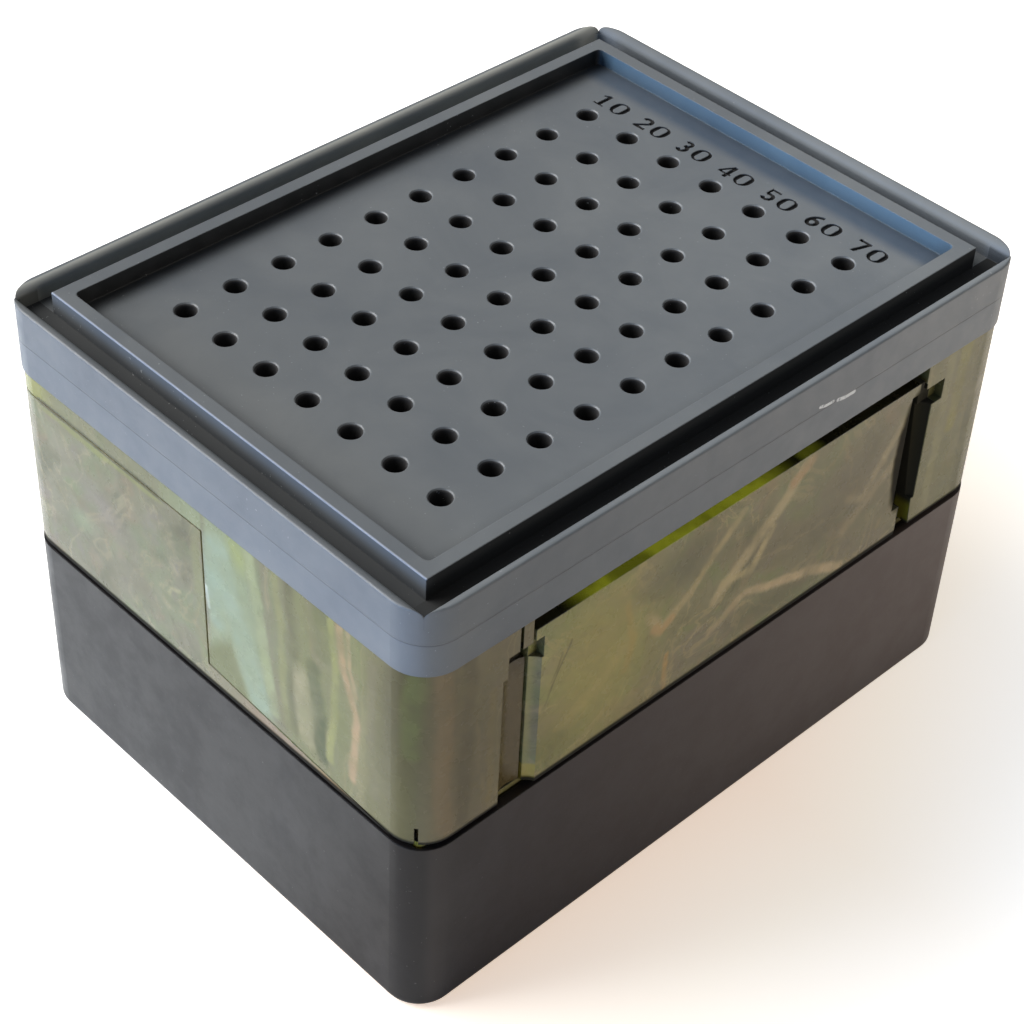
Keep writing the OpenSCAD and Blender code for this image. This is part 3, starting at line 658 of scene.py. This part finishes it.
def paint_lower_right(g):
    """A yellow-olive near end, grey clouds and crossing tan veins, between a painted highlight on
    the near lip and painted shade in the far scoop.

    Returns a mask of the dull end, and how strongly light coming through the wall's top edge is
    painted as a glow.
    """
    right = g.right
    g.spots(
        right,
        [
            ((-24.0, 45), (8.5, 13), 0, 0.9, (142, 136, 84), 0.75),
            ((-10.5, 53), (6.2, 3.6), -8, 0.9, (90, 90, 72), 0.75),
            ((4.0, 47.5), (8, 3.0), -25, 1.0, (98, 92, 76), 0.55),
            ((24, 46), (14, 12), 0, 0.9, (92, 87, 74), 0.65),
            ((9.0, 34.5), (9, 2.0), 0, 0.9, (86, 86, 60), 0.7),
            ((-33, 36), (5, 3.0), 0, 0.9, (92, 92, 54), 0.5),
        ],
    )
    rising = [(-3.2, 42.7), (1.5, 46.2), (7.5, 51.3), (12.7, 56.8)]
    hook = [(-15.8, 47.5), (-13.6, 43.7), (-8.2, 46.9), (0.4, 55.2)]
    falling = [(-3.2, 37.0), (2.7, 39.5), (9.0, 37.6), (16.0, 36.2), (23.5, 32.6)]
    g.veins(
        right,
        [
            (rising, (162, 152, 126), 0.9, 0.25, 1.3),
            ([(10.2, 54.6), (13.2, 56.6)], (152, 128, 100), 0.8, 0.3, 1.2),
            ([(-2.0, 44.5), (3.6, 43.4), (6.8, 49.0)], (162, 152, 122), 0.85, 0.12, 0.95),
            (hook, (156, 146, 116), 0.9, 0.15, 1.1),
            ([(-14.6, 44.6), (-13.2, 43.5), (-11.6, 44.4)], (160, 136, 98), 0.8, 0.12, 0.95),
            (falling, (170, 156, 132), 1.0, 0.25, 0.9),
            ([(22.8, 44.8), (25.5, 43.0), (32.7, 53.2)], (142, 134, 112), 0.9, 0.15, 0.95),
            ([(22.7, 39.0), (28.0, 43.0), (33.5, 47.3)], (134, 126, 106), 0.9, 0.2, 1.4),
            ([(-11.6, 38.4), (-11.4, 32)], (160, 134, 90), 0.9, 0.12, 0.7),
            ([(-20, 52.5), (-18.5, 46), (-19.5, 41)], (148, 134, 84), 0.7, 0.12, 0.95),
            ([(-28, 39), (-24, 41), (-20, 45)], (150, 142, 96), 0.6, 0.2, 1.4),
            ([(-33.4, 44), (-31.5, 48.5), (-29.3, 52.0)], (76, 72, 44), 0.7, 0.02, 0.3),
            ([(-31.0, 50.8), (-32.6, 47.0)], (80, 74, 48), 0.6, 0.02, 0.3),
        ],
    )
    # a painted highlight on the wall's near lip, and painted shade in a thumb scoop at its far end
    near_end = g.range(g.y, 1.0 - MIDDLE_Y, 0.4 - MIDDLE_Y)
    lip = g.product(near_end, g.range(g.z, 34, 38, 0.5, 1.0))
    g.lay(lip, (128, 130, 92), 0.7, right)
    far_end = g.range(g.y, MIDDLE_Y - 1.0, MIDDLE_Y - 0.6)
    bulge = g.product(g.spot(right.point, (MIDDLE_Y, 46.5), (4.0, 10.6), 0, 0.12), right.shows)
    scoop = g.product(
        g.largest(bulge, far_end),
        g.range(g.x, 36.8, 37.1),
        g.over(g.z, LOWER_PLATE_Z - 0.4),
    )
    g.lay(scoop, (16, 14, 6), 0.96)
    # painted shade darkens the top edge under the lid, with patches where light coming through is
    # painted as a glow
    top = g.product(g.range(g.z, MIDDLE_Z - 0.15, MIDDLE_Z - 0.05), g.range(g.x, 36.9, 37.1))
    g.lay(top, (26, 24, 8), 0.95)
    lit = g.within(g.wy, -31, -24, 2, 11)
    patch = g.product(g.range(g.wy, 10.5, 12), g.range(g.wy, 16, 13, 0, 0.4))
    mottle = g.range(g.noise(g.place, 120, 3, 0.6), 0.35, 0.65, 0.45, 1.15)
    return scoop, g.product(g.product(top, g.largest(lit, patch)), mottle)


def marble_plastic(name, upper):
    """One half's plastic, glossy but for its scoops and grooves, with painted shade and light, and
    light coming through the lower half painted as a glow.
    """
    g = Marble(name, steep=upper)
    if upper:
        paint_upper_front(g)
        dull = paint_upper_right(g)
        through = (0, 0, 0)
    else:
        paint_lower_front(g)
        dull, lit = paint_lower_right(g)
        through = g.mix(lit, (0, 0, 0), (0.13, 0.14, 0.008))
    # painted shade darkens the bottom edge where it meets the tray
    sill = g.product(
        g.range(g.z, LOWER_Z + 1.05, LOWER_Z + 0.4),
        outer_rim(g, HALF_X - HALF_INSET, HALF_Y - HALF_INSET, CORNER_R, 1.2),
    )
    sill = g.product(sill, g.over(g.z, LOWER_Z - 0.05))
    g.lay(sill, (10, 10, 8), 0.97)
    # painted shade in the creases
    colour = g.shaded(g.colour, g.range(g.occlusion(3 * MM), 0.25, 0.9, 0.35, 1.0))
    # painted shade makes the front a little darker, and painted light makes the right side warmer
    # and lighter
    colour = g.cast(colour, g.front.shows, (0.87, 0.85, 0.82))
    colour = g.cast(colour, g.right.shows, (1.33, 1.2, 0.9))
    grain = g.noise(g.place, 700, 4, 0.65)
    colour = g.shaded(colour, g.range(grain, 0.3, 0.7, 0.93, 1.07, smooth=False))

    wave = g.noise(g.place, 150, 3, 0.55, 0.5)
    fine = g.noise(g.place, 1300, 2, 0.5)
    gloss = g.range(g.noise(g.place, 260, 4, 0.6), 0.3, 0.7, 0.2, 0.34)
    normal = g.bump(wave, 0.2 * MM, 0.35, g.rounded(0.2 * MM))
    g.surface(
        Base_Color=colour,
        Roughness=g.between(g.largest(sill, dull), gloss, 1.0),
        Normal=g.bump(fine, 0.01 * MM, 0.3, normal),
        Specular_IOR_Level=0.38,
        Emission_Color=through,
        Emission_Strength=1.0,
    )
    return g.material


# ---------------------------------------------------------------- pegs
def peg_plastic(name, tone, dark):
    """Glossy turned plastic with faint lengthwise rubbing."""
    g = Graph(name)
    cloud = g.noise(g.place, 220, 3, 0.6)
    colour = g.ramp(cloud, [(0.3, srgb(*dark)), (0.7, srgb(*tone))])
    rubbed = g.noise(g.mapping(g.place, scale=(0.1, 1, 1)), 2500, 3, 0.6)
    normal = g.bump(rubbed, 0.02 * MM, 0.3, g.rounded(0.15 * MM))
    rough = g.range(rubbed, 0.3, 0.7, 0.2, 0.36)
    g.surface(Base_Color=colour, Roughness=rough, Normal=normal)
    return g.material


# ---------------------------------------------------------------- stage
FLOOR_REACH, FLOOR_Z = 3.0, -0.0001  # half the floor's width, and its height, in metres
LAMP_AIM_Z = 0.035  # the object's mid height, in metres
WORLD_LIGHT, WORLD_GLOSS = 0.06, 0.45  # the world's strength on surfaces and in reflections


def add_floor():
    """Pale floor, white to the camera but with a painted warm shadow beside the right face."""
    g = Graph("floor")
    x, y, _ = g.split(g.place)
    path = g.node("ShaderNodeLightPath")
    in_gloss = path.outputs["Is Glossy Ray"]
    # to the camera: a painted warm shadow beside the box's right face, neutral further out
    beside = g.product(g.range(x, -0.02, 0.03), g.within(y, -0.2, -0.12, 0.12, 0.25))
    out = g.math("MULTIPLY_ADD", g.range(y, 0.01, 0.11, smooth=False), 0.06, x)
    tone = g.ramp(
        g.largest(g.range(out, 0.04, 0.09, smooth=False), g.math("SUBTRACT", 1.0, beside)),
        [(0.0, (0.685, 0.55, 0.44)), (0.4, (0.71, 0.64, 0.55)), (1.0, (0.77, 0.77, 0.765))],
    )
    # a painted glow seen only in reflections: bright towards the window, dim in front of the near
    # corner
    front = g.product(
        g.product(g.range(x, 0.03, 0.0), g.range(y, -0.10, -0.08)),
        g.range(x, 0.0, -0.1, 0.56, 1.1, smooth=False),
        g.range(y, -0.04, -0.055),
    )
    right = g.product(g.range(x, 0.03, 0.05), g.range(y, -0.05, 0.11, 0.2, 0.85))
    mirrored = g.mix(g.range(x, 0.02, 0.04), (0.87, 0.98, 1.08), (0.9, 0.8, 0.7))

    glow = g.node("ShaderNodeEmission")
    g.put(glow.inputs["Color"], g.mix(in_gloss, tone, mirrored))
    reflected = g.product(in_gloss, g.math("ADD", front, right))
    g.put(glow.inputs["Strength"], g.math("ADD", path.outputs["Is Camera Ray"], reflected))
    diffuse = g.node("ShaderNodeBsdfDiffuse")
    g.put(diffuse.inputs["Color"], srgb(238, 236, 234))
    both = g.node("ShaderNodeAddShader")
    g.put(both.inputs[0], diffuse.outputs[0])
    g.put(both.inputs[1], glow.outputs[0])
    # see-through from below, so that the underside can be looked at
    seen = g.node("ShaderNodeMixShader")
    g.put(seen.inputs[0], g.geometry.outputs["Backfacing"])
    g.put(seen.inputs[1], both.outputs[0])
    g.put(seen.inputs[2], g.node("ShaderNodeBsdfTransparent").outputs[0])
    g.put(g.out.inputs[0], seen.outputs[0])

    mesh = bpy.data.meshes.new("floor")
    r = FLOOR_REACH
    mesh.from_pydata([(-r, -r, 0), (r, -r, 0), (r, r, 0), (-r, r, 0)], [], [(0, 1, 2, 3)])
    mesh.materials.append(g.material)
    floor = bpy.data.objects.new("floor", mesh)
    floor.location.z = FLOOR_Z
    bpy.context.scene.collection.objects.link(floor)


def add_light(name, azimuth, elevation, distance, size, power, colour):
    """A rectangular lamp that faces the object; azimuth 0 is +Y, 90 is +X, and sizes in metres."""
    a, e = math.radians(azimuth), math.radians(elevation)
    aim = Vector((0, 0, LAMP_AIM_Z))
    away = Vector((math.sin(a) * math.cos(e), math.cos(a) * math.cos(e), math.sin(e)))
    data = bpy.data.lights.new(name, "AREA")
    data.shape, data.size, data.size_y = "RECTANGLE", size[0], size[1]
    data.energy, data.color = power, colour
    lamp = bpy.data.objects.new(name, data)
    lamp.location = aim + away * distance
    lamp.rotation_euler = (-away).to_track_quat("-Z", "Y").to_euler()
    bpy.context.scene.collection.objects.link(lamp)


def add_world():
    """White to the camera, dim grey in reflections, and almost no light of its own."""
    world = bpy.data.worlds.new("world")
    bpy.context.scene.world = world
    world.use_nodes = True
    tree = world.node_tree
    path = tree.nodes.new("ShaderNodeLightPath")
    base = tree.nodes.new("ShaderNodeMath")
    base.operation = "MULTIPLY_ADD"
    tree.links.new(path.outputs["Is Glossy Ray"], base.inputs[0])
    base.inputs[1].default_value = WORLD_GLOSS - WORLD_LIGHT
    base.inputs[2].default_value = WORLD_LIGHT
    seen = tree.nodes.new("ShaderNodeMath")
    seen.operation = "MAXIMUM"
    tree.links.new(base.outputs[0], seen.inputs[0])
    tree.links.new(path.outputs["Is Camera Ray"], seen.inputs[1])
    background = tree.nodes["Background"]
    background.inputs["Color"].default_value = (1, 1, 1, 1)
    tree.links.new(seen.outputs[0], background.inputs["Strength"])


# ---------------------------------------------------------------- the scene
def dress(node, material):
    mesh = nodes[node].data
    mesh.materials.clear()
    mesh.materials.append(material)


dress("peg_board_lid", lid_plastic())
dress("base_tray", tray_plastic())
dress("lower_caddy_half", marble_plastic("marbled_plastic_lower", upper=False))
dress("upper_caddy_half", marble_plastic("marbled_plastic_upper", upper=True))
dress("score_peg_1", peg_plastic("red_peg_plastic", (196, 48, 34), (170, 34, 26)))
dress("score_peg_2", peg_plastic("blue_peg_plastic", (48, 104, 184), (34, 84, 158)))

add_camera()
add_floor()
add_world()
LAMPS = (
    # name, azimuth, elevation, distance, size, power in watts, colour
    ("window", 232, 38, 1.1, (1.0, 0.8), 22, (1.0, 0.965, 0.91)),
    ("sky", 185, 10, 1.2, (1.2, 0.5), 7.0, (0.2, 0.5, 1.0)),
    ("room", 80, 11, 1.3, (1.1, 0.35), 3.9, (1.0, 0.93, 0.84)),
)
for lamp in LAMPS:
    add_light(*lamp)

bpy.context.scene.view_settings.view_transform = "Standard"
